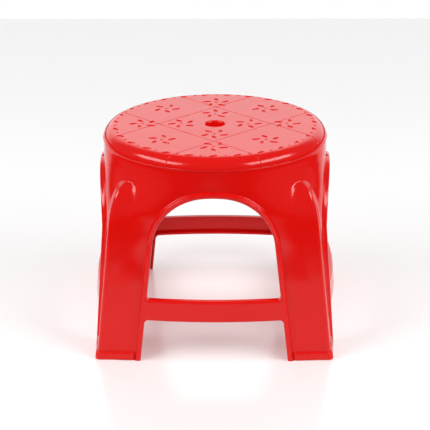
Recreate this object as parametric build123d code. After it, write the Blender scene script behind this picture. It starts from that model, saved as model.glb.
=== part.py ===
from build123d import *
import os
from math import atan, cos, hypot, radians, sin, sqrt

# Low round stool, one injection moulding in polypropylene, divided into its regions.
# Frame: +Z up, origin on the floor under the centre of the seat, -Y is one of four equal faces.
# Each region is a solid of its own that meets its neighbours face to face.

# Driving dimensions, mm
seat_height = 267.0            # floor to the flat of the seat
rim_diameter = 290.0           # widest circle of the seat
wall = 2.6                     # moulding wall
rim_round = 15.0               # rounding between the flat of the seat and its edge
parting_bead = 0.6             # height of the fine raised line under the rim rounding
skirt_step = 0.6               # the skirt stands this much inside the rim
hole_diameter = 25.5           # finger hole in the middle of the seat
hole_round = 2.0               # rounding at the mouth of the finger hole
collar_depth = 16.0            # tube that hangs under the finger hole

# Legs: each level of the outside is a bowed square that shrinks towards a circle.
# Their widths are given from the rim, so the legs follow the seat when it grows.
foot_spread = 16.2             # middle of a face beyond the rim, worked out at the floor
foot_corner_spread = 2.8       # corner of the square at the floor beyond the rim, along X and Y
bend_spread = 3.6              # middle of a face beyond the rim, at the bend
bend_corner_inset = 11.8       # corner at the bend, inside the rim
shoulder_inset = 9.0           # middle of a face at the shoulder, inside the rim
shoulder_overlap = 2.0         # the shoulders run this far up over the skirt's lower edge
shoulder_rise = 76.0           # from the bend up to the top of the shoulders
shoulder_drop = 23.4           # how far the corner falls back at the very top of the shoulder
corner_round = 8.0             # rounding of each leg's outer corner

# Side openings, each with a raised border
gap_at_floor = 187.0           # distance between two feet along one face
gap_lean = 0.111               # how much each side of the opening leans in per mm of height
arch_drop = 50.0               # highest point of the opening, below the flat of the seat
arch_crown_radius = 160.0      # flat arc over the middle
arch_side_centre = 5.88        # the arcs at the sides are centred this far from the middle
border_width = 7.0             # width of the raised border round the opening
border_depth = 8.5             # depth of the border behind its face
border_step = 1.5              # how far the border stands out from the leg
border_spread = 4.3            # face of the border beyond the rim, from the bend upwards

# Stretchers
stretcher_bottom = 54.5
stretcher_top = 82.0
stretcher_lip = 8.5            # depth of the turned-in top edge

# Foot lips
foot_lip_height = 11.0
foot_lip_out = 2.5             # how far the lip stands out from the leg
foot_lip_round = 2.0

# Pressed pattern on the seat
pattern_depth = 0.8
flower_rings = ((43.0, 4), (93.5, 8))   # radius of each ring and number of flowers on it
petal_count = 5
petal_length = 12.0
petal_width = 5.0
petal_radius = 13.0            # middle of a petal from the middle of its flower
petal_turn = 25.0              # each petal's tilt from its own radius, degrees
flower_dot = 4.0
border_ring_inset = 0.5        # ring of dots and dashes, inside the edge of the flat
border_ring_pairs = 27         # dots and dashes alternate round the edge
groove_offset = 51.8           # four fine grooves, each this far from the middle
groove_width = 1.2

# Ribs under the seat
rib_count = 8
rib_thickness = 2.0
rib_depth = 14.0

rim_radius = rim_diameter / 2
skirt_radius = rim_radius - skirt_step
hole_radius = hole_diameter / 2
collar_radius = hole_radius + wall
rim_bottom = seat_height - rim_round
arch_top = seat_height - arch_drop
skirt_bottom = arch_top + border_width
underside = seat_height - wall
clear = 4 * rim_radius          # longer than any part of the stool, for cutting tools
below_floor = 20.0             # how far cutting tools reach under the feet
flat_radius = rim_radius - rim_round
border_ring_radius = flat_radius - border_ring_inset
inner_skirt_radius = skirt_radius - wall
foot_half_side = rim_radius + foot_spread
foot_corner = rim_radius + foot_corner_spread
bend_half_side = rim_radius + bend_spread
bend_corner = rim_radius - bend_corner_inset
shoulder_half_side = rim_radius - shoulder_inset
border_face_top = rim_radius + border_spread
shoulder_height = skirt_bottom + shoulder_overlap
bend_height = shoulder_height - shoulder_rise


def outside_at(height, top):
    """Half side and corner of the bowed square at one height, with its shoulders at top."""
    if height <= bend_height:
        share = height / bend_height
        half_side = foot_half_side + share * (bend_half_side - foot_half_side)
        return half_side, foot_corner + share * (bend_corner - foot_corner)
    rise = min(1.0, (height - bend_height) / (top - bend_height))
    half_side = bend_half_side + rise ** 1.5 * (shoulder_half_side - bend_half_side)
    lean = (foot_corner - bend_corner) / bend_height
    corner = bend_corner - lean * (height - bend_height)
    return half_side, corner - shoulder_drop * (1 - (1 - rise ** 3) ** (1 / 3))


def bowed_square(half_side, corner, height, round_radius):
    """Face of four shallow arcs that meet at rounded corners."""
    corners = [(-corner, -corner), (corner, -corner), (corner, corner), (-corner, corner)]
    middles = [(0, -half_side), (half_side, 0), (0, half_side), (-half_side, 0)]
    arcs = [
        ThreePointArc(corners[side], middles[side], corners[(side + 1) % 4])
        for side in range(4)
    ]
    outline = make_face(arcs)
    return Pos(0, 0, height) * fillet(outline.vertices(), round_radius)


def stacked(sections):
    """Solid through a stack of faces, straight between each pair."""
    return loft([section.face() for section in sections], ruled=True)


def leg_body(inset, top):
    """Body whose outside is the legs' outside, moved in by inset."""
    steps = (0, 0.3, 0.52, 0.7, 0.84, 0.93, 0.98, 1.0)
    heights = [0.0] + [bend_height + step * (top - bend_height) for step in steps]
    sections = []
    for height in heights:
        half_side, corner = outside_at(height, top)
        sections.append(bowed_square(half_side - inset, corner - inset, height, corner_round - inset))
    return stacked(sections)


def foot_lip_body():
    """Solid foot block as wide as the lips, with their upper edge rounded."""
    sections = []
    for height in (0.0, foot_lip_height):
        half_side, corner = outside_at(height, shoulder_height)
        round_radius = corner_round + foot_lip_out
        sections.append(
            bowed_square(half_side + foot_lip_out, corner + foot_lip_out, height, round_radius)
        )
    block = stacked(sections)
    return fillet(block.faces().sort_by(Axis.Z)[-1].edges(), foot_lip_round)


def border_body(inset):
    """Body whose faces carry the borders and the stretchers."""
    face_lean = (foot_half_side + border_step - border_face_top) / bend_height
    sections = []
    for height in (0.0, bend_height, skirt_bottom):
        below_bend = max(0.0, bend_height - height)
        half_side = border_face_top + face_lean * below_bend
        _, corner = outside_at(min(height, bend_height), shoulder_height)
        sections.append(
            bowed_square(half_side - inset, corner + border_step - inset, height, corner_round)
        )
    return stacked(sections)


def opening_cutter(grow):
    """Bar through the stool along Y in the shape of one side opening, grown by grow."""
    lean = atan(gap_lean)
    crown_centre = arch_top - arch_crown_radius
    centre_x = arch_side_centre
    # The side arc touches the leaning side and, from inside, the crown arc: a quadratic in its radius
    reach = (gap_at_floor / 2 - centre_x) * cos(lean) - crown_centre * sin(lean)
    a = cos(lean) ** 2
    b = 2 * (arch_crown_radius * sin(lean) ** 2 - reach)
    c = reach ** 2 - (arch_crown_radius ** 2 - centre_x ** 2) * sin(lean) ** 2
    arch_side_radius = (-b - sqrt(b * b - 4 * a * c)) / (2 * a)
    between = arch_crown_radius - arch_side_radius
    centre_z = crown_centre + sqrt(between ** 2 - centre_x ** 2)
    side_radius = arch_side_radius + grow
    crown_radius = arch_crown_radius + grow
    join = (
        centre_x + side_radius * centre_x / between,
        centre_z + side_radius * (centre_z - crown_centre) / between,
    )
    side_end = (centre_x + side_radius * cos(lean), centre_z + side_radius * sin(lean))
    side_middle = arc_middle((centre_x, centre_z), side_radius, side_end, join)
    foot = (side_end[0] + gap_lean * (side_end[1] + below_floor), -below_floor)
    crown = (0, crown_centre + crown_radius)
    outline = [
        Line(mirrored(foot), foot),
        Line(foot, side_end),
        ThreePointArc(side_end, side_middle, join),
        ThreePointArc(join, crown, mirrored(join)),
        ThreePointArc(mirrored(join), mirrored(side_middle), mirrored(side_end)),
        Line(mirrored(side_end), mirrored(foot)),
    ]
    return extrude(Plane.XZ * make_face(outline), clear, both=True)


def mirrored(point):
    """The same point on the other side of the opening."""
    return -point[0], point[1]


def arc_middle(centre, radius, start, end):
    """Point on an arc halfway between two of its points."""
    middle_x = (start[0] + end[0]) / 2 - centre[0]
    middle_z = (start[1] + end[1]) / 2 - centre[1]
    length = hypot(middle_x, middle_z)
    return centre[0] + radius * middle_x / length, centre[1] + radius * middle_z / length


def slab(bottom, top):
    """Flat block over the whole plan between two heights."""
    return Pos(0, 0, (bottom + top) / 2) * Box(clear, clear, top - bottom)


def half_plan(side):
    """Block over the part of the plan that belongs to one face, numbered from the front."""
    wedge = make_face(Polyline((0, 0), (-clear, -clear), (clear, -clear), (0, 0)))
    return Rot(0, 0, 90 * side) * extrude(wedge, seat_height)


def quarter_plan(corner):
    """Block over one quadrant, numbered from front right, counter-clockwise."""
    block = Pos(clear / 2, -clear / 2, seat_height / 2) * Box(clear, clear, seat_height)
    return Rot(0, 0, 90 * corner) * block


def write(name, shape):
    shape.label = name
    export_step(shape, f"parts/{name}.step")


def pattern_cutter():
    """Everything that is pressed into the top of the seat."""
    marks = Sketch()
    petal = Rot(0, 0, petal_turn) * Ellipse(petal_length / 2, petal_width / 2)
    flower = Circle(flower_dot / 2)
    for step in range(petal_count):
        flower += Rot(0, 0, 360 / petal_count * step) * Pos(petal_radius, 0) * petal
    tools = []
    for ring_radius, count in flower_rings:
        for step in range(count):
            tools.append(Rot(0, 0, 360 / count * step) * Pos(ring_radius, 0) * flower)
    dash = Rot(0, 0, 90 + petal_turn) * Ellipse(petal_length / 2, petal_width / 2)
    for step in range(border_ring_pairs):
        dash_angle = -90 + 360 / border_ring_pairs * step
        dot_angle = dash_angle + 180 / border_ring_pairs
        tools.append(Rot(0, 0, dash_angle) * Pos(border_ring_radius, 0) * dash)
        tools.append(Rot(0, 0, dot_angle) * Pos(border_ring_radius, 0) * Circle(flower_dot / 2))
    for tool in tools:
        marks += tool
    return Pos(0, 0, seat_height - pattern_depth) * extrude(marks, pattern_depth * 2)


def seat_envelope(inset):
    """Solid disc under the seat's outer surface moved in by inset, down to the rim's lower edge."""
    radius = rim_radius - inset
    top = seat_height - inset
    turn = (rim_round - inset) * cos(radians(45))
    profile = make_face(
        [
            Line((0, rim_bottom), (radius, rim_bottom)),
            ThreePointArc(
                (radius, rim_bottom),
                (flat_radius + turn, rim_bottom + turn),
                (flat_radius, top),
            ),
            Line((flat_radius, top), (0, top)),
            Line((0, top), (0, rim_bottom)),
        ]
    )
    return revolve(Plane.XZ * profile, Axis.Z)


def groove_cutter():
    """Four fine grooves that cross the seat and run down over the rim."""
    skin = seat_envelope(0) - seat_envelope(pattern_depth)
    plates = []
    for step in range(4):
        plate = Pos(groove_offset, 0, seat_height) * Box(groove_width, clear, 2 * rim_round)
        plates.append(Rot(0, 0, 45 + 90 * step) * plate)
    return skin & (plates[0] + plates[1:])


def upright(radius, bottom, top):
    """Cylinder on the stool's axis between two heights."""
    return Pos(0, 0, (bottom + top) / 2) * Cylinder(radius, top - bottom)


os.makedirs("parts", exist_ok=True)

# Seat, rim, finger-hole collar and skirt
seat_space = seat_envelope(wall)
seat_shell = seat_envelope(0) - seat_space
grooves = groove_cutter()
seat = (seat_shell & upright(flat_radius, 0, seat_height)) - upright(hole_radius, 0, seat_height)
mouth = seat.edges().filter_by(GeomType.CIRCLE).group_by(Axis.Z)[-1].sort_by(SortBy.LENGTH)[0]
write("seat_top", fillet(mouth, hole_round) - pattern_cutter() - grooves)
bead = Pos(0, 0, rim_bottom + parting_bead) * Torus(rim_radius, parting_bead)
write("seat_rim", seat_shell - upright(flat_radius, 0, seat_height) + (bead - seat_space) - grooves)
collar_bottom = underside - collar_depth
write(
    "finger_hole_collar",
    upright(collar_radius, collar_bottom, underside) - upright(hole_radius, 0, seat_height),
)
skirt_hollow = upright(inner_skirt_radius, 0, seat_height)
write("skirt_band", upright(skirt_radius, skirt_bottom, rim_bottom) - skirt_hollow)

# Legs and foot lips, one of each on every corner
leg_outside = leg_body(0, shoulder_height)
leg_space = leg_body(wall, shoulder_height - wall)
outside = (leg_outside & slab(0, skirt_bottom)) + upright(skirt_radius, bend_height, skirt_bottom)
wide_front = opening_cutter(border_width)
wide_side = Rot(0, 0, 90) * wide_front
leg_shell = outside - leg_space - upright(inner_skirt_radius, bend_height, seat_height)
leg_shell = leg_shell - wide_front - wide_side
lips = foot_lip_body() - leg_outside - wide_front - wide_side
corner_names = ("front_right", "back_right", "back_left", "front_left")
for number, name in enumerate(corner_names):
    write(f"leg_{name}", leg_shell & quarter_plan(number))
    write(f"foot_lip_{name}", lips & quarter_plan(number))

# Borders and stretchers, one of each on every face
opening = opening_cutter(0)
faces = border_body(0) & half_plan(0)
border = (faces - border_body(border_depth)) & wide_front & slab(0, skirt_bottom)
border -= opening
plate = (faces - border_body(wall)) & opening & slab(stretcher_bottom, stretcher_top)
turned_in = (faces - border_body(stretcher_lip)) & opening & slab(stretcher_top - wall, stretcher_top)
face_names = ("front", "right", "back", "left")
for number, name in enumerate(face_names):
    turn = Rot(0, 0, 90 * number)
    write(f"opening_border_{name}", turn * border)
    write(f"stretcher_{name}", turn * (plate + turned_in))

# Ribs from the collar out to the skirt, under the seat
rib_space = seat_space + upright(inner_skirt_radius, underside - rib_depth, rim_bottom)
rib_space -= upright(collar_radius, 0, seat_height)
for number in range(rib_count):
    bar = Pos(clear / 2, 0, underside - rib_depth / 2) * Box(clear, rib_thickness, rib_depth)
    turn = Rot(0, 0, 360 / rib_count * (number + 0.5))
    write(f"seat_rib_{number + 1}", turn * bar & rib_space)
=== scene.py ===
# %% [markdown]
# # A moulded plastic stool
# The real stool is one injection moulding: a round seat on a skirt that opens into four square,
# splayed legs, with an arched opening and a stretcher on every face.
#
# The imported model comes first. It fixes the frame, the overall box and the names of the nodes that
# each finished piece stands for.

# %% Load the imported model
import math

import bpy
import numpy as np
from mathutils import Matrix, Vector, geometry


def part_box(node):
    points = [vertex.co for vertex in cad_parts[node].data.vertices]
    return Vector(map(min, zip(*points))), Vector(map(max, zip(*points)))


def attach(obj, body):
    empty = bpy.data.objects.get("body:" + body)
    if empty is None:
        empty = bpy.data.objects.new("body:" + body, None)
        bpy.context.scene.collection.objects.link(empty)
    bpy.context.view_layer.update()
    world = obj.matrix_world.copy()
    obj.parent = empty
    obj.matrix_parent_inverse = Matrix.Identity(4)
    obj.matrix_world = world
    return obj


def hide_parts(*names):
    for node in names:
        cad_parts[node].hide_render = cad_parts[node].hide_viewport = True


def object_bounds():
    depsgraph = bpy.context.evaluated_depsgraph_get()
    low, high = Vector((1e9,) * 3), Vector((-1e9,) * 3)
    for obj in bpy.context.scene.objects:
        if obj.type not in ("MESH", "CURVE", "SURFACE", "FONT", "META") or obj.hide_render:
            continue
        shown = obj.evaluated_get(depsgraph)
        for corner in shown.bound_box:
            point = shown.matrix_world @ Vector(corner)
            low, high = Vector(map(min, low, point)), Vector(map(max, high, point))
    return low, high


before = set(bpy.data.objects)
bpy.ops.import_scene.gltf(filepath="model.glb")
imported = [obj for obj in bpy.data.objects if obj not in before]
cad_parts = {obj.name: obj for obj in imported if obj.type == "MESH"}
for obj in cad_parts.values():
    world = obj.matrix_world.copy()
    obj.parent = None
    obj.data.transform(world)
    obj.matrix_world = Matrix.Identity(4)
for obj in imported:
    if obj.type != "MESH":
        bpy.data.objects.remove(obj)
cad_box = [list(corner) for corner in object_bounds()]
mm = 0.001
print("nodes", len(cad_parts), "box", cad_box)

# %% Sizes read from the frame
def node_box(name):
    low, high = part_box(name)
    return np.array(low) / mm, np.array(high) / mm


seat_height = cad_box[1][2] / mm
rim_bottom = node_box("seat_rim")[0][2]
flat_radius = node_box("seat_top")[1][0]
rim_round = seat_height - rim_bottom
rim_radius = flat_radius + rim_round
skirt_radius = node_box("skirt_band")[1][0]
skirt_bottom = node_box("skirt_band")[0][2]
collar_bottom = node_box("finger_hole_collar")[0][2]
collar_radius = node_box("finger_hole_collar")[1][0]
underside = node_box("finger_hole_collar")[1][2]
wall = seat_height - underside
hole_radius = collar_radius - wall
stretcher_bottom, stretcher_top = node_box("stretcher_front")[0][2], node_box("stretcher_front")[1][2]
print("seat", seat_height, "rim radius", rim_radius, "wall", wall, "hole radius", hole_radius)

# %% [markdown]
# ## The outside as a formula
# A moulded shell like this has no edges to model one by one. Under the rim its outline is a circle.
# Further down the circle swells into a rounded square, and a square post grows out of every corner
# from a rounded tip. It could be sculpted or built with subdivision surfaces, but a formula gives the
# exact surface and its exact normal at every point, and a glossy surface shows every small error.

# %% Blend and interpolate smoothly
def soft_min(a, b, width):
    share = np.clip(0.5 + 0.5 * (b - a) / width, 0.0, 1.0)
    return b + (a - b) * share - width * share * (1 - share)


def soft_max(a, b, width):
    return -soft_min(-a, -b, width)


def ease(value, start, end):
    """0 before start, 1 after end, smooth in between."""
    t = np.clip((value - start) / (end - start), 0.0, 1.0)
    return t * t * t * (t * (6 * t - 15) + 10)


def smooth_curve(stations):
    """A smooth curve through (height, value) stations, without overshoot."""
    x, y = np.array(stations, float).T
    step, rise = np.diff(x), np.diff(y) / np.diff(x)
    slope = np.zeros(len(x))
    both = rise[1:] * rise[:-1] > 0
    weight = step[1:] + step[:-1]
    slope[1:-1][both] = 3 * weight[both] / (
        (weight + step[1:])[both] / rise[:-1][both] + (weight + step[:-1])[both] / rise[1:][both]
    )
    slope[0] = rise[0]

    def curve(z):
        i = np.clip(np.searchsorted(x, z) - 1, 0, len(step) - 1)
        t = np.clip((z - x[i]) / step[i], 0, 1)
        lift = (1 + 2 * t) * (1 - t) ** 2 * y[i] + t * t * (3 - 2 * t) * y[i + 1]
        return lift + step[i] * t * (1 - t) * ((1 - t) * slope[i] - t * slope[i + 1])

    return curve


print("halfway between 1 and 2:", smooth_curve([(0, 1), (10, 2)])(np.array([5.0])))

# %% Outline of the body and of the corner posts at each height
# Heights and distances are in mm. The squareness is the power of the outline: 2 is a circle.
body_reach = smooth_curve([
    (0, 151.8), (100, 143.0), (140, 140.4), (165, 141.8), (195, 144.0), (215, 144.4), (267, 144.4),
])
body_squareness = smooth_curve([
    (0, 9.0), (100, 7.5), (138, 6.0), (167, 4.3), (182, 3.65), (195, 3.28), (205, 2.95), (216, 2.62),
    (228, 2.33), (240, 2.12), (252, 2.0), (267, 2.0),
])
post_foot, post_lean = 147.8, 0.0973
post_round, tip_round = 9.0, 6.0
tip_start, tip_end = 178.0, 224.0
shoulder_start, shoulder_height, shoulder_drop = 150.0, 226.5, 23.4
above_shoulder_lean = 4.0
post_blend = 4.0


def body_radius(angle, z):
    """A circle under the rim that turns into a rounded square."""
    power = body_squareness(z)
    return body_reach(z) * (np.cos(angle) ** power + np.sin(angle) ** power) ** (-1 / power)


def post_radius(angle, z):
    """The square corner post, which closes in a rounded tip at the shoulder."""
    rise = np.clip((z - shoulder_start) / (shoulder_height - shoulder_start), 0.0, 1.0)
    drop = shoulder_drop * (1 - (1 - rise ** 3) ** (1 / 3))
    drop = drop + above_shoulder_lean * np.clip(z - shoulder_height, 0, None)
    rounding = post_round + (tip_round - post_round) * ease(z, tip_start, tip_end)
    # The blend takes a quarter of its width off the corner, so each side is moved out for it
    side = post_foot - post_lean * np.minimum(z, shoulder_height) - drop + rounding / 4 / math.sqrt(2)
    return soft_min(side / np.cos(angle), side / np.sin(angle), rounding)


print("body at the diagonal", body_radius(np.pi / 4, np.array([100.0, 200.0, 240.0])))

# %% Radius of the shell in any direction
foot_lip_height = node_box("foot_lip_front_left")[1][2]
foot_lip_out = 2.5
foot_lip_round = 2.2
lip_widening_limit = 0.72


def foot_lip(z):
    """How far the rounded lip at the foot stands out at height z."""
    up = np.clip((z - (foot_lip_height - foot_lip_round)) / foot_lip_round, 0.0, 1.0)
    down = np.clip((foot_lip_round - z) / foot_lip_round, 0.0, 1.0)
    hang = np.sqrt(1 - up ** 2) * (z < foot_lip_height)
    return (foot_lip_out - foot_lip_round) * (z < foot_lip_height) + foot_lip_round * (
        hang + np.sqrt(1 - down ** 2) - 1
    ).clip(0, None)


def shell_radius(angle, z, with_lip):
    """Distance of the shell from the axis, with the lip standing out square to its face."""
    radius = soft_max(body_radius(angle, z), post_radius(angle, z), post_blend)
    if with_lip:
        radius = radius + foot_lip(z) / np.maximum(np.cos(angle), np.sin(angle)).clip(lip_widening_limit, 1)
    return radius


halvings = 46


def shell_reach(x, z, with_lip=False):
    """Distance of the shell from the plane through the axis, at x across a face and height z."""
    low, high = np.full_like(x, 1e-6), np.full_like(x, np.radians(50))
    for _ in range(halvings):
        middle = (low + high) / 2
        inside = shell_radius(middle, z, with_lip) * np.sin(middle) < np.abs(x)
        low, high = np.where(inside, middle, low), np.where(inside, high, middle)
    return shell_radius(low, z, with_lip) * np.cos(low)


def shell_corner(z, with_lip=False):
    """x of the shell where two faces meet, at height z."""
    angle = np.full_like(z, np.pi / 4)
    return shell_radius(angle, z, with_lip) * np.sin(angle)


print("corner at 100 mm", shell_corner(np.array([100.0])))
print("reach 90 mm across", shell_reach(np.array([90.0]), np.array([100.0])))

# %% [markdown]
# ## The side openings
# Seen square on, each opening is an arch on two leaning legs, crossed by a stretcher. The outline is
# one leaning line, one side arc and one crown arc, mirrored. The distance to it drives everything
# round the opening: the raised border, its rolled edge and the turned-in flange behind.

# %% Outline of an opening
gap_at_floor = 187.0
gap_lean = 0.111
border_width = 7.0
arch_top = skirt_bottom - border_width
arch_crown_radius = 160.0
arch_side_radius = 71.0
lean_angle = math.atan(gap_lean)
crown_centre = arch_top - arch_crown_radius


def side_arc_centre():
    """Centre of the arc that touches both the leaning leg and the crown arc."""
    reach = gap_at_floor / 2 * math.cos(lean_angle) - arch_side_radius
    a = 1 + math.tan(lean_angle) ** 2
    b = -2 * reach * math.sin(lean_angle) / math.cos(lean_angle) ** 2 - 2 * crown_centre
    c = (reach / math.cos(lean_angle)) ** 2 + crown_centre ** 2
    c -= (arch_crown_radius - arch_side_radius) ** 2
    z = (-b + math.sqrt(b * b - 4 * a * c)) / (2 * a)
    return (reach - z * math.sin(lean_angle)) / math.cos(lean_angle), z


side_centre = side_arc_centre()
join_angle = math.atan2(side_centre[1] - crown_centre, side_centre[0])
print("side arc centre", side_centre)


def arch_distance(x, z):
    """Distance outside the arch: positive in the plastic, negative in the opening and stretcher."""
    x = np.abs(x)
    crown = np.hypot(x, z - crown_centre) - arch_crown_radius
    side = np.hypot(x - side_centre[0], z - side_centre[1]) - arch_side_radius
    leg = (x - gap_at_floor / 2) * math.cos(lean_angle) + z * math.sin(lean_angle)
    on_crown = np.arctan2(z - crown_centre, x) > join_angle
    on_side = np.arctan2(z - side_centre[1], x - side_centre[0]) > lean_angle
    return np.where(on_crown, crown, np.where(on_side, side, leg))


# %% Distance to the two holes above and below the stretcher
upper_round = 3.0
lower_round = 5.5


def rounded_both(a, b, radius):
    """Distance to the space where both a and b are negative, with its corner rounded."""
    u, v = a + radius, b + radius
    return np.hypot(u.clip(0), v.clip(0)) + np.minimum(np.maximum(u, v), 0) - radius


def hole_distance(x, z):
    arch = arch_distance(x, z)
    upper = rounded_both(arch, stretcher_top - z, upper_round)
    lower = rounded_both(arch, z - stretcher_bottom, lower_round)
    return np.minimum(upper, lower)


print("middle of the stretcher to a hole", hole_distance(0.0, (stretcher_bottom + stretcher_top) / 2))

# %% [markdown]
# ## The skin of one face
# The border stands proud of the leg by a step, and over the arch it flares right out from the round
# skirt. Both are the same thing: near the opening the skin leaves the shell and joins a second,
# flatter sheet, which also carries the stretcher's face.

# %% Sheet that carries the borders and the stretcher
sheet_side, sheet_bend, sheet_lean = 149.3, 155.0, 0.084
sheet_bow = 576.0
border_inner, border_outer = 5.4, 7.9
lip_inner, lip_outer = 7.0, 9.5
lining_inner, lining_outer = 1.0, 12.0
slope_step = 0.02


def sheet_reach(x, z):
    return sheet_side + sheet_lean * (sheet_bend - z).clip(0) - x ** 2 / (2 * sheet_bow)


def skin_reach(x, z):
    """Outer skin of one face: shell, border step and foot lip."""
    away = arch_distance(x, z)
    plain = shell_reach(x, z)
    low = z < foot_lip_height + 1
    if np.any(low):
        lipped = plain.copy()
        lipped[low] = shell_reach(x[low], z[low], True)
        plain = plain + (lipped - plain) * ease(away, lip_inner, lip_outer)
    return plain + (sheet_reach(x, z) - plain) * (1 - ease(away, border_inner, border_outer))


def lining_reach(x, z):
    """The same skin without its sharp details, for the inside of the wall."""
    away = arch_distance(x, z)
    plain = shell_reach(x, z)
    return plain + (sheet_reach(x, z) - plain) * (1 - ease(away, lining_inner, lining_outer))


def surface(reach, x, z):
    """Points on one face and their normals, from how far the face reaches at x and z."""
    step = slope_step
    points = np.stack([x, -reach(x, z), z], 1)
    across = (reach(x + step, z) - reach(x - step, z)) / (2 * step)
    upward = (reach(x, z + step) - reach(x, z - step)) / (2 * step)
    normals = np.stack([-across, -np.ones_like(x), -upward], 1)
    return points, normals / np.linalg.norm(normals, axis=1, keepdims=True)


print("stretcher's face from the axis", sheet_reach(np.array([0.0]), np.array([stretcher_top])))

# %% [markdown]
# ## Rings round the holes
# Round each hole the mesh has to follow the edge exactly, so it starts from closely spaced rings
# that copy the outline at fixed distances. Everything further out can be filled in between.

# %% Half outline of each hole, with its outward normals
outline_spacing = 3.0
stretcher_spacing = 3.2


def along(start, end, spacing):
    """Evenly spaced values from start to end, end left out."""
    count = max(2, round(abs(end - start) / spacing))
    return start + (end - start) * np.arange(count) / count


def leg_line(z):
    """x of the leaning leg edge at height z."""
    return gap_at_floor / 2 - gap_lean * z


def turn_corner(corner_z, radius, upwards):
    """Rounded corner between the stretcher and the leaning leg edge: points and normals."""
    sign = 1 if upwards else -1
    z = corner_z + sign * radius
    x = (gap_at_floor / 2 * math.cos(lean_angle) - radius - z * math.sin(lean_angle)) / math.cos(lean_angle)
    angles = np.linspace(-sign * math.pi / 2, lean_angle, 7)
    normals = np.stack([np.cos(angles), np.sin(angles)], 1)
    return np.array([x, z]) + radius * normals, normals


def leg_side(heights):
    """Points and normals on the leaning edge of the leg."""
    normals = np.tile([math.cos(lean_angle), math.sin(lean_angle)], (len(heights), 1))
    return np.stack([leg_line(heights), heights], 1), normals


def arch_arcs():
    """Points and normals of the side arc and of half the crown arc, up to the middle line."""
    points, normals = [], []
    for centre, radius, start, end in (
        (side_centre, arch_side_radius, lean_angle, join_angle),
        ((0.0, crown_centre), arch_crown_radius, join_angle, math.pi / 2),
    ):
        angles = along(start, end, outline_spacing / radius)
        if end == math.pi / 2:
            angles = np.append(angles, end)
        rays = np.stack([np.cos(angles), np.sin(angles)], 1)
        points.append(np.array(centre) + radius * rays)
        normals.append(rays)
    return points, normals


arc_bottom = side_centre[1] + arch_side_radius * math.sin(lean_angle)


def arch_outline():
    """Right half of the whole arch, from the floor to the crown, with normals."""
    leg, leg_normals = leg_side(along(0.0, arc_bottom, outline_spacing))
    arcs, arc_normals = arch_arcs()
    return np.concatenate([leg, *arcs]), np.concatenate([leg_normals, *arc_normals])


def half_outline(upper):
    """Right half of one hole: points from the middle of the stretcher outwards, and normals."""
    corner_z, radius = (stretcher_top, upper_round) if upper else (stretcher_bottom, lower_round)
    turn, turn_normals = turn_corner(corner_z, radius, upper)
    x = along(0.0, turn[0][0], stretcher_spacing)
    flat = np.stack([x, np.full_like(x, corner_z)], 1)
    flat_normals = np.tile([0.0, -1.0 if upper else 1.0], (len(x), 1))
    z = along(turn[-1][1], arc_bottom if upper else 0.0, outline_spacing)[1:]
    leg, leg_normals = leg_side(z if upper else np.append(z, 0.0))
    points, normals = [flat, turn, leg], [flat_normals, turn_normals, leg_normals]
    if upper:
        arcs, arc_normals = arch_arcs()
        points += arcs
        normals += arc_normals
    return np.concatenate(points), np.concatenate(normals)


foot_reach = 18.0


def offset_ring(points, normals, distance):
    """The outline moved into the plastic, kept on the floor and on the middle line at its ends."""
    ring = points + distance * normals
    near_floor = (1 - points[:, 1] / foot_reach).clip(0, 1) * (normals[:, 0] > 0.9)
    slide = -distance * math.tan(lean_angle) * near_floor
    ring[:, 0] -= slide * math.sin(lean_angle)
    ring[:, 1] += slide * math.cos(lean_angle)
    return ring


upper_outline = half_outline(True)
lower_outline = half_outline(False)
print("ring points", len(upper_outline[0]), len(lower_outline[0]))

# %% [markdown]
# ## The net of points
# Points lie in rows, close together where the surface turns quickly: at the foot lip, along the
# corner, and at the shoulder. A triangle net joins them to the rings, so small triangles are spent
# only where a highlight would show them.

# %% Points that fill one half face
def fine_steps(*runs):
    """Values made of runs (start, end, spacing), with the last end included."""
    values = [along(*run) for run in runs]
    return np.append(np.concatenate(values), runs[-1][1])


roll_radius = 3.0
ring_offsets = (roll_radius, 3.8, 4.6)
step_offsets = (5.0, 5.4, 5.75, 6.1, 6.4, 6.7, 7.0, 7.3, 7.6, 7.95, 8.4)
levels = fine_steps(
    (0.0, 2.4, 0.4), (2.4, 8.4, 1.5), (8.4, 11.2, 0.35), (11.2, 14.0, 0.9), (14.0, 176.0, 5.0),
    (176.0, 204.0, 3.0), (204.0, 234.0, 1.4), (234.0, rim_bottom, 3.0),
)
corner_width = 26.0
corner_steps = np.concatenate([np.arange(0, 12, 0.8), [13, 14.5, 16.5, 19, 22, corner_width]])
row_spacing = 4.5
ring_clear = 5.6
step_clear = (4.4, 9.6)


def filling_points():
    """Rows of points over half a face, clear of the rings, and the line of its corner."""
    corners = shell_corner(levels, True)
    kept = []
    for z, corner in zip(levels, corners):
        inner = corner - corner_width
        count = max(3, int(round(inner / row_spacing)))
        xs = np.concatenate([corner - corner_steps, np.linspace(0.0, inner, count, endpoint=False)])
        row = np.stack([xs, np.full_like(xs, z)], 1)
        away, hole = arch_distance(*row.T), hole_distance(*row.T)
        off_step = (away < step_clear[0]) | (away > step_clear[1])
        kept.append(row[(hole > ring_clear) & off_step & (xs >= 0)])
    return np.concatenate(kept), np.stack([corners, levels], 1)


print("levels", len(levels), "points beside each corner", len(corner_steps))

# %% Fill one half face with triangles
def triangulate(points, edges):
    """Delaunay triangles of a flat point set that keeps the given edges."""
    result = geometry.delaunay_2d_cdt([Vector(p) for p in points], edges, [], 0, 1e-5, False)
    return np.array([tuple(v) for v in result[0]]), np.array(result[2])


def chain(first, count):
    return [(i, i + 1) for i in range(first, first + count - 1)]


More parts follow.
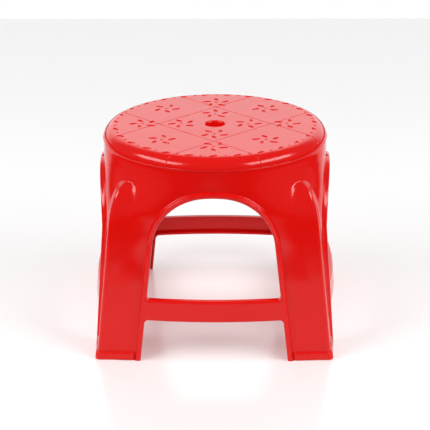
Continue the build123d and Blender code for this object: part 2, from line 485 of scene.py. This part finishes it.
def half_face():
    """Flat points of half a face in x and z, and the triangles between them."""
    filling, corner_line = filling_points()
    rings = [
        offset_ring(*outline, distance)
        for outline in (upper_outline, lower_outline) for distance in ring_offsets
    ]
    rings += [offset_ring(*arch_outline(), distance) for distance in step_offsets]
    sets, edges, total = rings + [corner_line], [], 0
    for line in sets:
        edges += chain(total, len(line))
        total += len(line)
    sets.append(filling)
    flat, triangles = triangulate(np.concatenate(sets), edges)
    middle = flat[triangles].mean(axis=1)
    span = flat[triangles].max(axis=1) - flat[triangles].min(axis=1)
    inside = hole_distance(*middle.T) > roll_radius - 0.01
    inside &= middle[:, 0] < np.interp(middle[:, 1], corner_line[:, 1], corner_line[:, 0])
    inside &= span.max(axis=1) > 1e-4
    return flat, triangles[inside]


flat_face, face_triangles = half_face()
print("half face", len(flat_face), "points", len(face_triangles), "triangles")

# %% [markdown]
# ## The rolled edge
# The border ends in a small round edge that turns into the hole and runs back as a flange, which is
# what stiffens the real moulding. A strip swept along each ring makes it with exact normals; a bevel
# would do the same but would need an edge loop that the net doesn't have.

# %% Rolled edge and turned-in flange round a hole
flange_depths = (4.6, 6.4, 8.5)


def rolled_edge(outline):
    """Strip from the border's face over the rolled edge to the end of the flange."""
    points, normals = outline
    turns = np.linspace(0, np.pi / 2, 7)
    profile = [(roll_radius * (1 - math.sin(t)), roll_radius * (1 - math.cos(t)), t) for t in turns]
    profile += [(0.0, depth, math.pi / 2) for depth in flange_depths]
    face_normals = surface(skin_reach, *offset_ring(points, normals, roll_radius).T)[1]
    into_hole = np.stack([-normals[:, 0], 0 * normals[:, 0], -normals[:, 1]], 1)
    rows, row_normals, linings = [], [], []
    for distance, depth, turn in profile:
        ring = offset_ring(points, normals, distance)
        base = np.stack([ring[:, 0], -skin_reach(*ring.T), ring[:, 1]], 1)
        base[:, 1] += depth
        tilt = math.cos(turn) * face_normals + math.sin(turn) * into_hole
        tilt /= np.linalg.norm(tilt, axis=1, keepdims=True)
        rows.append(base)
        row_normals.append(tilt)
        linings.append(base - wall * tilt)
    count = len(points)
    quads = []
    for row in range(len(rows) - 1):
        for i in range(count - 1):
            a, b = row * count + i, row * count + i + 1
            quads.append((a, b, b + count, a + count))
    return np.concatenate(rows), np.concatenate(row_normals), np.concatenate(linings), quads


print("flange is", flange_depths[-1], "mm deep, roll radius", roll_radius)

# %% Half face in space
def half_face_in_space():
    """Points, normals, lining, lining normals and outward faces of half a face of the stool."""
    points, normals = surface(skin_reach, *flat_face.T)
    inner, inner_normals = surface(lining_reach, *flat_face.T)
    lining = inner - wall * inner_normals
    faces = []
    for triangle in face_triangles:
        a, b, c = points[triangle]
        facing = np.cross(b - a, c - a) @ normals[triangle[0]] > 0
        faces.append(tuple(triangle if facing else triangle[::-1]))
    for outline in (upper_outline, lower_outline):
        strip, strip_normals, strip_lining, quads = rolled_edge(outline)
        first = len(points)
        points = np.concatenate([points, strip])
        normals = np.concatenate([normals, strip_normals])
        lining = np.concatenate([lining, strip_lining])
        inner_normals = np.concatenate([inner_normals, strip_normals])
        for quad in quads:
            a, b, c, d = (points[first + i] for i in quad)
            facing = np.cross(c - a, d - b) @ strip_normals[quad[0]] > 0
            quad = tuple(first + i for i in quad)
            faces.append(quad if facing else quad[::-1])
    # Nothing reaches below the floor
    points[:, 2] = points[:, 2].clip(0)
    lining[:, 2] = lining[:, 2].clip(0)
    return points, normals, lining, inner_normals, faces


half = half_face_in_space()
print("half face in space", len(half[0]), "points", len(half[4]), "faces")

# %% [markdown]
# ## The whole frame
# The stool repeats four times and each face is its own mirror image, so eight copies of the half
# face make the frame. Where copies meet, their normals are averaged, which leaves no seam.

# %% Repeat the half face round the stool
def turned(vectors, quarter, mirrored):
    """Copy of some vectors, mirrored across the face and turned by quarters."""
    out = vectors * np.array([-1.0, 1.0, 1.0]) if mirrored else vectors.copy()
    for _ in range(quarter):
        out = np.stack([-out[:, 1], out[:, 0], out[:, 2]], 1)
    return out


def whole_shell():
    """Eight copies of the half face, welded where they touch, with their lining."""
    places, sums = {}, []
    outer, inner, faces = [], [], []
    for quarter in range(4):
        for mirrored in (False, True):
            points, normals, lining, lining_normals = (turned(v, quarter, mirrored) for v in half[:4])
            index = []
            for point, normal, deep, deep_normal in zip(points, normals, lining, lining_normals):
                key = tuple(np.round(point, 2))
                if key not in places:
                    places[key] = len(outer)
                    outer.append(point)
                    inner.append(deep)
                    sums.append([normal.copy(), deep_normal.copy()])
                else:
                    sums[places[key]][0] += normal
                    sums[places[key]][1] += deep_normal
                index.append(places[key])
            for face in half[4]:
                face = tuple(index[i] for i in face)
                if len(set(face)) < 3:
                    continue
                faces.append(face[::-1] if mirrored else face)
    sums = np.array(sums)
    sums /= np.linalg.norm(sums, axis=2, keepdims=True)
    return np.array(outer), np.array(inner), sums[:, 0], sums[:, 1], faces


def open_edges(faces):
    """Edges that only one face uses, in that face's direction."""
    seen = dict.fromkeys(edge for face in faces for edge in zip(face, face[1:] + face[:1]))
    return [(a, b) for a, b in seen if (b, a) not in seen]


def make_mesh(name, points, faces, loop_normals):
    """Smooth object from points in mm, with a given normal at every face corner."""
    mesh = bpy.data.meshes.new(name)
    mesh.from_pydata([tuple(p) for p in np.asarray(points) * mm], [], faces)
    mesh.polygons.foreach_set("use_smooth", [True] * len(mesh.polygons))
    mesh.normals_split_custom_set([tuple(n) for n in loop_normals])
    mesh.update()
    piece = bpy.data.objects.new(name, mesh)
    bpy.context.scene.collection.objects.link(piece)
    return piece


def make_frame_piece():
    """Skin and lining of the whole frame, bridged along their open edges."""
    outer, inner, outer_normals, inner_normals, faces = whole_shell()
    count = len(outer)
    points = np.concatenate([outer, inner])
    all_faces = list(faces)
    loop_normals = [outer_normals[i] for face in faces for i in face]
    for face in faces:
        back = tuple(i + count for i in face[::-1])
        all_faces.append(back)
        loop_normals += [-inner_normals[i - count] for i in back]
    rims = open_edges(faces)
    for a, b in rims:
        quad = (b, a, a + count, b + count)
        p = points[list(quad)]
        normal = np.cross(p[2] - p[0], p[3] - p[1])
        normal /= max(np.linalg.norm(normal), 1e-9)
        all_faces.append(quad)
        loop_normals += [normal] * 4
    print("open edges bridged", len(rims))
    return make_mesh("stool_frame", points, all_faces, loop_normals)


stool_frame = make_frame_piece()
print("frame", len(stool_frame.data.vertices), "vertices", len(stool_frame.data.polygons), "faces")

# %% [markdown]
# # The seat
# The seat top, its rounded rim, and the finger hole with its collar are one smooth surface with a
# pattern of pressed petals, dots and fine grooves. It is laid out flat first: every point has a
# place on a plan where the distance from the middle is measured along the surface, over the rim
# and down. The plan is filled with triangles and then wrapped over the seat.

# %% Wrap the plan over the seat
rim_length = rim_round * math.pi / 2
lip_drop = 0.6
seat_edge = flat_radius + rim_length + lip_drop


def wrapped(run):
    """Distance from the axis, height and slope angle of the seat at a distance along it."""
    turn = ((run - flat_radius) / rim_round).clip(0, math.pi / 2)
    fall = (run - flat_radius - rim_length).clip(0)
    out = np.minimum(run, flat_radius) + rim_round * np.sin(turn)
    return out, rim_bottom + rim_round * np.cos(turn) - fall, turn


def run_at(out):
    """Distance along the seat at a distance out from the axis."""
    turn = np.arcsin(((out - flat_radius) / rim_round).clip(0, 1))
    return np.where(out <= flat_radius, out, flat_radius + rim_round * turn)


print("run from the middle to the edge", round(seat_edge, 2))

# %% [markdown]
# ## Pattern
# Four flowers lie round the hole and eight more outside them, each with five slanting petals round a
# dot. A ring of dashes and dots follows the rim, and four straight grooves cross the seat.

# %% Places of the petals, dashes and dots
petal_count, petal_length, petal_width = 5, 12.0, 5.0
petal_place, petal_turn = 13.0, math.radians(25)
dot_size = 4.0
flower_rings = ((43.0, 4), (93.5, 8))
border_ring, border_pairs = 129.5, 27


def polar(radius, angle):
    return np.array([radius * math.cos(angle), radius * math.sin(angle)])


def pattern_marks():
    """Every pressed mark as centre, length, width and direction."""
    marks = []
    for ring, count in flower_rings:
        for angle in np.arange(count) * math.tau / count:
            middle = polar(ring, angle)
            marks.append((middle, dot_size, dot_size, 0.0))
            for spoke in angle + np.arange(petal_count) * math.tau / petal_count:
                place = middle + polar(petal_place, spoke)
                marks.append((place, petal_length, petal_width, spoke + petal_turn))
    for pair in range(border_pairs):
        angle = -math.pi / 2 + pair * math.tau / border_pairs
        turn = angle + math.pi / 2 + petal_turn
        marks.append((polar(border_ring, angle), petal_length, petal_width, turn))
        marks.append((polar(border_ring, angle + math.pi / border_pairs), dot_size, dot_size, 0.0))
    return marks


marks = pattern_marks()
mark_centres = np.array([mark[0] for mark in marks])
mark_halves = np.array([(mark[1] / 2, mark[2] / 2) for mark in marks])
mark_turns = np.array([mark[3] for mark in marks])
print("marks", len(marks))

# %% How deep the pattern is at a point of the plan
mark_depth = 1.3
mark_flat, mark_edge = 0.55, 1.15
groove_place, groove_half_width, groove_depth = 51.8, 0.62, 0.4
groove_turns = math.pi / 4 + np.arange(4) * math.pi / 2
bead_height, bead_half_width = 0.5, 0.7
hole_round = 2.0
hole_edge = hole_radius + hole_round


def mark_share(plan):
    """1 in the middle of a mark, 0 outside all of them."""
    share = np.zeros(len(plan))
    for centre, (a, b), turn in zip(mark_centres, mark_halves, mark_turns):
        near = np.hypot(*(plan - centre).T) < a * 1.3
        if near.any():
            x, y = (plan[near] - centre).T
            u = (x * math.cos(turn) + y * math.sin(turn)) / a
            v = (y * math.cos(turn) - x * math.sin(turn)) / b
            share[near] = np.maximum(share[near], 1 - ease(np.hypot(u, v), mark_flat, mark_edge))
    return share


def groove_share(plan):
    """1 along the middle of a groove, 0 outside all of them."""
    run = np.hypot(*plan.T)
    shrink = wrapped(run)[0] / np.maximum(run, 1e-9)
    share = np.zeros(len(plan))
    for turn in groove_turns:
        across = shrink * (plan[:, 0] * math.cos(turn) + plan[:, 1] * math.sin(turn))
        share = np.maximum(share, 1 - ease(np.abs(across - groove_place), 0.0, groove_half_width))
    return share


def seat_surface(plan):
    """The seat in space, with its bead raised and its pattern pressed in."""
    run = np.hypot(*plan.T)
    out, height, turn = wrapped(run)
    bead = 1 - ease(np.abs(run - flat_radius - rim_length + lip_drop), 0.0, bead_half_width)
    raised = bead_height * bead - mark_depth * mark_share(plan)
    raised -= groove_depth * groove_share(plan) * (1 - bead)
    out, height = out + raised * np.sin(turn), height + raised * np.cos(turn)
    around = plan / np.maximum(run, 1e-9)[:, None]
    return np.stack([around[:, 0] * out, around[:, 1] * out, height], 1)


def seat_normals(plan):
    step = 0.03
    along_x = seat_surface(plan + [step, 0]) - seat_surface(plan - [step, 0])
    along_y = seat_surface(plan + [0, step]) - seat_surface(plan - [0, step])
    normals = np.cross(along_x, along_y)
    return normals / np.linalg.norm(normals, axis=1, keepdims=True)


print("depth in the middle of a petal", mark_depth * mark_share(mark_centres[1:2])[0])

# %% Points of the plan
round_count = 288
hole_count = 96
mark_rings = (0.0, 0.3, 0.5, 0.62, 0.72, 0.82, 0.92, 1.02, 1.12, 1.22)
groove_rows = np.array([-0.75, -0.35, 0.0, 0.35, 0.75])
grid_spacing, grid_past_flat = 3.0, 6.0


def mark_points():
    """Rings of points over every mark, closer together on its slope."""
    points = []
    for (a, b), centre, turn in zip(mark_halves, mark_centres, mark_turns):
        count = 22 if a > b else 14
        for scale in mark_rings:
            angles = np.arange(count if scale else 1) * math.tau / count
            u, v = a * scale * np.cos(angles), b * scale * np.sin(angles)
            x = centre[0] + u * math.cos(turn) - v * math.sin(turn)
            y = centre[1] + u * math.sin(turn) + v * math.cos(turn)
            points.append(np.stack([x, y], 1))
    return np.concatenate(points)


def groove_points():
    """Close rows along each groove, over the flat and down the rim."""
    down_run = flat_radius + np.linspace(0.5, rim_length - 2 * lip_drop, 22)
    down = wrapped(down_run)[0]
    half_chord = math.sqrt(flat_radius ** 2 - groove_place ** 2)
    rows = []
    for turn in groove_turns:
        for across in groove_place + groove_rows:
            down_chord = np.sqrt(down ** 2 - across ** 2)
            chord = np.concatenate([np.linspace(0, half_chord, 56), down_chord])
            chord = np.concatenate([-chord[:0:-1], chord])
            on_rim = np.abs(chord) > half_chord + 0.2
            rim_run = np.interp(np.abs(chord), down_chord, down_run)
            run = np.where(on_rim, rim_run, run_at(np.hypot(across, chord)))
            angle = turn + np.arctan2(chord, across)
            rows.append(np.stack([run * np.cos(angle), run * np.sin(angle)], 1))
    return rows


def clear_of(points, others, gap):
    """Points that keep a gap from the others, found through a grid of cells."""
    cells = {}
    for point in others:
        cells.setdefault((int(point[0] // gap), int(point[1] // gap)), []).append(point)
    keep = []
    for point in points:
        column, row = int(point[0] // gap), int(point[1] // gap)
        close = False
        for i in (column - 1, column, column + 1):
            for j in (row - 1, row, row + 1):
                for other in cells.get((i, j), ()):
                    close |= (point[0] - other[0]) ** 2 + (point[1] - other[1]) ** 2 < gap * gap
        keep.append(not close)
    return points[np.array(keep)]


def ring_points(runs, count=round_count):
    angles = np.arange(count) * math.tau / count
    return np.concatenate([run * np.stack([np.cos(angles), np.sin(angles)], 1) for run in runs])


def seat_plan():
    """Points of the whole plan: hole, marks, grooves, a grid between them, rim and bead."""
    lip = flat_radius + rim_length
    bead_runs = lip - lip_drop + np.arange(-4, 5) * 0.2
    outer = ring_points(np.append(bead_runs, [seat_edge]))
    rim_runs = np.linspace(flat_radius + 8, bead_runs[0] - 1.0, 11)
    first = ring_points([hole_edge], hole_count)
    on_marks = mark_points()
    on_grooves = clear_of(np.concatenate(groove_points()), on_marks, 0.5)
    fixed = np.concatenate([on_marks, on_grooves])
    grid_radius = flat_radius + grid_past_flat
    ticks = np.arange(-grid_radius, grid_radius, grid_spacing)
    x, y = np.meshgrid(ticks, ticks)
    x = x + grid_spacing / 2 * (np.arange(len(ticks)) % 2)[:, None]
    grid = np.stack([x.ravel(), y.ravel()], 1)
    run = np.hypot(*grid.T)
    grid = grid[(run > hole_edge + grid_spacing / 2) & (run < grid_radius)]
    loose = clear_of(np.concatenate([ring_points(rim_runs), grid]), fixed, 1.2)
    inside = np.hypot(*fixed.T) < bead_runs[0] - 0.1
    return np.concatenate([first, outer, fixed[inside], loose])


def seat_triangles():
    plan = seat_plan()
    flat, triangles = triangulate(plan, [])
    middle = np.hypot(*flat[triangles].mean(axis=1).T)
    return flat, triangles[middle > hole_edge * math.cos(math.pi / hole_count)]


seat_flat, seat_faces = seat_triangles()
print("seat plan", len(seat_flat), "points", len(seat_faces), "triangles")

# %% [markdown]
# ## Hole, collar and underside
# Everything that isn't patterned is turned round the axis: the rounded mouth of the hole, its tube,
# and the hollow underside. A profile of points with their normals is enough.

# %% Turn a profile round the axis
def arc_profile(centre, radius, start, end, count, facing=1):
    """Points of an arc in distance out and height, and their normals."""
    angles = np.radians(np.linspace(start, end, count))
    rays = np.stack([np.cos(angles), np.sin(angles)], 1)
    return np.array(centre) + radius * rays, facing * rays


def line_profile(start, end, count, normal):
    points = np.linspace(start, end, count)
    return points, np.tile(normal, (count, 1))


def turned_strip(points, normals, count):
    """Rows of points round the axis, their normals, and the faces between the rows."""
    angles = np.arange(count) * math.tau / count
    cos, sin = np.cos(angles), np.sin(angles)
    rows = [np.stack([r * cos, r * sin, z + 0 * cos], 1) for r, z in points]
    row_normals = [np.stack([r * cos, r * sin, z + 0 * cos], 1) for r, z in normals]
    faces = []
    for row in range(len(points) - 1):
        if np.hypot(*(points[row + 1] - points[row])) < 1e-6:
            continue
        for i in range(count):
            j = (i + 1) % count
            a, b = row * count, (row + 1) * count
            faces.append((a + i, a + j, b + j, b + i))
    return np.concatenate(rows), np.concatenate(row_normals), faces


def joined_profile(parts):
    return np.concatenate([points for points, _ in parts]), np.concatenate([rays for _, rays in parts])


def hole_profile():
    parts = [
        arc_profile((hole_edge, seat_height - hole_round), hole_round, 90, 180, 8),
        line_profile((hole_radius, seat_height - hole_round), (hole_radius, collar_bottom), 6, (-1, 0)),
        line_profile((hole_radius, collar_bottom), (collar_radius, collar_bottom), 2, (0, -1)),
        line_profile((collar_radius, collar_bottom), (collar_radius, underside), 5, (1, 0)),
    ]
    return joined_profile(parts)


def underside_profile():
    inside, lip_bottom = rim_radius - wall, rim_bottom - lip_drop
    parts = [
        line_profile((collar_radius, underside), (flat_radius, underside), 30, (0, -1)),
        arc_profile((flat_radius, rim_bottom), rim_round - wall, 90, 0, 10, -1),
        line_profile((inside, rim_bottom), (inside, lip_bottom), 2, (-1, 0)),
        line_profile((inside, lip_bottom), (rim_radius, lip_bottom), 2, (0, -1)),
    ]
    return joined_profile(parts)


def make_seat_piece():
    """Seat top, hole, collar and underside as one object."""
    points, normals = seat_surface(seat_flat), seat_normals(seat_flat)
    faces = [tuple(int(i) for i in face) for face in seat_faces]
    for profile, count in ((hole_profile(), hole_count), (underside_profile(), round_count)):
        strip, strip_normals, quads = turned_strip(*profile, count)
        first = len(points)
        points = np.concatenate([points, strip])
        normals = np.concatenate([normals, strip_normals])
        faces += [tuple(first + i for i in quad) for quad in quads]
    turned_faces = []
    for face in faces:
        corners = points[list(face)]
        facing = np.cross(corners[1] - corners[0], corners[2] - corners[0]) @ normals[face[0]]
        turned_faces.append(face if facing >= 0 else face[::-1])
    loop_normals = [normals[i] for face in turned_faces for i in face]
    return make_mesh("seat", points, turned_faces, loop_normals)


seat = make_seat_piece()
print("seat", len(seat.data.vertices), "vertices", len(seat.data.polygons), "faces")

# %% [markdown]
# # The plastic
# The stool is a glossy, evenly coloured polypropylene. The colour goes right through, so it needs no
# paint layer. What makes it look moulded is small: gloss that varies in soft patches, a very fine
# ripple from the polished mould, slow waves where the wall cooled unevenly, and light scuffs low
# down on the feet.
#
# Nodes are written as arithmetic with a small wrapper, so that a finish reads as a formula.

# %% Arithmetic on shader sockets
class Value:
    """One socket of a node tree, used in plain arithmetic."""

    def __init__(self, finish, socket):
        self.finish = finish
        self.socket = socket

    def maths(self, operation, *others):
        node = self.finish.node(
            "ShaderNodeMath", {"operation": operation}, dict(enumerate((self, *others)))
        )
        return self.finish.value(node, 0)

    def __add__(self, other):
        return self.maths("ADD", other)

    def __mul__(self, other):
        return self.maths("MULTIPLY", other)

    def __sub__(self, other):
        return self.maths("SUBTRACT", other)

    def __rsub__(self, other):
        node = self.finish.node("ShaderNodeMath", {"operation": "SUBTRACT"}, {0: other, 1: self})
        return self.finish.value(node, 0)

    __radd__ = __add__
    __rmul__ = __mul__

    def between(self, start, end):
        """0 at start, 1 at end, held outside."""
        node = self.finish.node(
            "ShaderNodeMapRange", {"interpolation_type": "SMOOTHSTEP"},
            {"Value": self, "From Min": start, "From Max": end, "To Min": 0.0, "To Max": 1.0},
        )
        return self.finish.value(node, "Result")


class Finish:
    """A node tree with one way of adding nodes."""

    def __init__(self, tree):
        self.tree = tree
        tree.nodes.clear()

    def node(self, kind, settings=None, sockets=None):
        node = self.tree.nodes.new(kind)
        for name, setting in (settings or {}).items():
            setattr(node, name, setting)
        for name, given in (sockets or {}).items():
            if isinstance(given, Value):
                self.tree.links.new(given.socket, node.inputs[name])
            else:
                node.inputs[name].default_value = given
        return node

    def value(self, node, name):
        return Value(self, node.outputs[name])

    def mix_colour(self, share, first, second):
        node = self.node(
            "ShaderNodeMix", {"data_type": "RGBA"}, {"Factor": share, 6: first, 7: second}
        )
        return self.value(node, 2)


print("node helpers ready")

# %% Moulded red plastic
fresh_red, faded_red = (0.79, 0.0045, 0.0026, 1), (0.75, 0.0038, 0.0022, 1)
scuffed_red = (0.62, 0.05, 0.045, 1)
scuff_height = 0.05


def noise(finish, place, scale, detail=2.0, roughness=0.5):
    node = finish.node(
        "ShaderNodeTexNoise", {"noise_dimensions": "3D"},
        {"Vector": place, "Scale": scale, "Detail": detail, "Roughness": roughness},
    )
    return finish.value(node, 0)


def make_plastic():
    material = bpy.data.materials.new("moulded_red_plastic")
    material.use_nodes = True
    finish = Finish(material.node_tree)
    place = finish.value(finish.node("ShaderNodeTexCoord"), "Object")
    height = finish.value(finish.node("ShaderNodeSeparateXYZ", None, {"Vector": place}), "Z")
    patches = noise(finish, place, 9.0)
    grain = noise(finish, place, 900.0, 1.0)
    waves = noise(finish, place, 22.0, 1.0)
    low_down = 1 - height.between(0.0, scuff_height)
    scuffs = noise(finish, place, 260.0, 3.0, 0.6).between(0.62, 0.72) * low_down
    colour = finish.mix_colour(patches, fresh_red, faded_red)
    colour = finish.mix_colour(scuffs * 0.25, colour, scuffed_red)
    roughness = 0.13 + patches * 0.06 + scuffs * 0.2
    ripple = finish.node("ShaderNodeBump", None, {
        "Strength": 0.35, "Distance": 0.00006, "Height": grain,
    })
    swell = finish.node("ShaderNodeBump", None, {
        "Strength": 0.5, "Distance": 0.0009, "Height": waves,
        "Normal": finish.value(ripple, "Normal"),
    })
    shader = finish.node("ShaderNodeBsdfPrincipled", None, {
        "Base Color": colour, "Roughness": roughness, "IOR": 1.42,
        "Normal": finish.value(swell, "Normal"),
    })
    finish.node("ShaderNodeOutputMaterial", None, {"Surface": finish.value(shader, "BSDF")})
    return material


plastic = make_plastic()
for piece in (stool_frame, seat):
    piece.data.materials.append(plastic)
print("plastic nodes", len(plastic.node_tree.nodes))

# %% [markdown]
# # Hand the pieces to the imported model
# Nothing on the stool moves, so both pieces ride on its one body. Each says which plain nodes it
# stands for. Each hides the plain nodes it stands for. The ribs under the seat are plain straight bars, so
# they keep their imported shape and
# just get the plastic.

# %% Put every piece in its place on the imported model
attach(stool_frame, "root")
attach(seat, "root")
face_names = ("front", "right", "back", "left")
leg_names = ("front_right", "back_right", "back_left", "front_left")
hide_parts("seat_top", "seat_rim", "finger_hole_collar")
frame_nodes = ["skirt_band"]
frame_nodes += [f"opening_border_{face}" for face in face_names]
frame_nodes += [f"stretcher_{face}" for face in face_names]
frame_nodes += [f"leg_{leg}" for leg in leg_names] + [f"foot_lip_{leg}" for leg in leg_names]
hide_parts(*frame_nodes)
for name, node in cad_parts.items():
    if name.startswith("seat_rib"):
        node.data.materials.clear()
        node.data.materials.append(plastic)
print("frame piece stands for", len(frame_nodes), "nodes")

# %% [markdown]
# # Floor, light and camera
# The stool stands on a plain white floor in a bright studio. The room behind it is brighter than the
# room in front, which puts the pale sheen on the seat and leaves the walls deep red. Two tall
# softboxes at the front corners draw the streaks down the legs. The floor is narrow in front, so
# that the lower legs have something dark to mirror.

# %% Floor
def make_floor():
    front_half, back_half, front, back = 0.66, 1.6, -0.72, 1.6
    mesh = bpy.data.meshes.new("studio_floor")
    corners = [(-front_half, front, 0), (front_half, front, 0), (back_half, back, 0), (-back_half, back, 0)]
    mesh.from_pydata(corners, [], [(0, 1, 2, 3)])
    floor = bpy.data.objects.new("studio_floor", mesh)
    bpy.context.scene.collection.objects.link(floor)
    material = bpy.data.materials.new("white_floor")
    material.use_nodes = True
    finish = Finish(material.node_tree)
    place = finish.value(finish.node("ShaderNodeTexCoord"), "Object")
    cloud = noise(finish, place, 3.0)
    colour = finish.mix_colour(cloud, (0.80, 0.80, 0.80, 1), (0.82, 0.82, 0.82, 1))
    shader = finish.node("ShaderNodeBsdfPrincipled", None, {
        "Base Color": colour, "Roughness": 0.18, "IOR": 1.5,
        "Emission Color": (1, 1, 1, 1), "Emission Strength": 0.2,
    })
    finish.node("ShaderNodeOutputMaterial", None, {"Surface": finish.value(shader, "BSDF")})
    mesh.materials.append(material)
    return floor


floor = make_floor()
print("floor", tuple(floor.dimensions))

# %% Room light
dark_side, bright_side, below_horizon = 0.20, 1.25, 0.04


def make_room():
    world = bpy.data.worlds.new("studio_room")
    world.use_nodes = True
    finish = Finish(world.node_tree)
    place = finish.value(finish.node("ShaderNodeTexCoord"), "Generated")
    backwards = finish.value(finish.node("ShaderNodeSeparateXYZ", None, {"Vector": place}), "Y")
    upwards = finish.value(finish.node("ShaderNodeSeparateXYZ", None, {"Vector": place}), "Z")
    walls = dark_side + backwards.between(0.60, 0.88) * bright_side
    strength = walls * upwards.between(-0.04, 0.04) + below_horizon
    lit = finish.node("ShaderNodeBackground", None, {"Color": (1, 1, 1, 1), "Strength": strength})
    seen = finish.node("ShaderNodeBackground", None, {"Color": (1, 1, 1, 1), "Strength": 1.0})
    straight = finish.value(finish.node("ShaderNodeLightPath"), "Is Camera Ray")
    both = finish.node("ShaderNodeMixShader", None, {
        0: straight, 1: finish.value(lit, 0), 2: finish.value(seen, 0),
    })
    finish.node("ShaderNodeOutputWorld", None, {"Surface": finish.value(both, 0)})
    bpy.context.scene.world = world


make_room()
bpy.context.scene.view_settings.view_transform = "Standard"
print("room", bpy.context.scene.world.name)

# %% Softboxes
stool_middle = Vector((0, 0, 0.13))


def softbox(name, azimuth, elevation, distance, width, height, radiance):
    """A flat softbox that faces the stool; azimuth 0 is straight in front."""
    around, up = math.radians(azimuth), math.radians(elevation)
    direction = Vector((math.sin(around) * math.cos(up), -math.cos(around) * math.cos(up), math.sin(up)))
    lamp = bpy.data.lights.new(name, "AREA")
    lamp.shape = "RECTANGLE"
    lamp.size, lamp.size_y = width, height
    lamp.energy = radiance * math.pi * width * height
    light = bpy.data.objects.new(name, lamp)
    light.location = direction * distance + stool_middle
    light.rotation_euler = direction.to_track_quat("Z", "Y").to_euler()
    light.visible_camera = False
    bpy.context.scene.collection.objects.link(light)
    return light


for side, azimuth in (("left", -62), ("right", 62)):
    softbox(
        side + "_softbox", azimuth, elevation=36, distance=1.8, width=1.45, height=0.5, radiance=9.0,
    )

# %% [markdown]
# ## Camera
# A long lens from a little over two metres away, looking down by about 21 degrees and turned by
# about one degree, which keeps the stool nearly square on.

# %% Camera
def make_camera():
    """Camera placed by its distance, pitch, yaw and roll, with lengths in mm."""
    focal, image_width = 1700.0, 430.0
    distance = 2253.63
    pitch, yaw, roll = (math.radians(angle) for angle in (20.839, -1.116, 0.357))
    aim_across, aim_height = -0.65, 140.0
    c, s = math.cos(yaw), math.sin(yaw)
    level_right = Vector((c, -s, 0))
    level_up = Vector((s * math.sin(pitch), c * math.sin(pitch), math.cos(pitch)))
    forward = Vector((s * math.cos(pitch), c * math.cos(pitch), -math.sin(pitch)))
    right = math.cos(roll) * level_right - math.sin(roll) * level_up
    up = math.sin(roll) * level_right + math.cos(roll) * level_up
    place = aim_across * level_right + Vector((0, 0, aim_height)) - distance * forward
    data = bpy.data.cameras.new("studio_camera")
    data.sensor_width = 36.0
    data.lens = focal / image_width * data.sensor_width
    camera = bpy.data.objects.new("studio_camera", data)
    turn = Matrix((right, up, -forward)).transposed().to_4x4()
    camera.matrix_world = Matrix.Translation(place * mm) @ turn
    bpy.context.scene.collection.objects.link(camera)
    bpy.context.scene.camera = camera
    return camera


camera = make_camera()
print("camera", tuple(round(v, 3) for v in camera.location), "lens", round(camera.data.lens, 1))

# %% [markdown]
# The imported model's box
# The looks must stay inside the imported model's box, which is printed at the end.

# %% Print the imported model's box
print("packed box", cad_box)
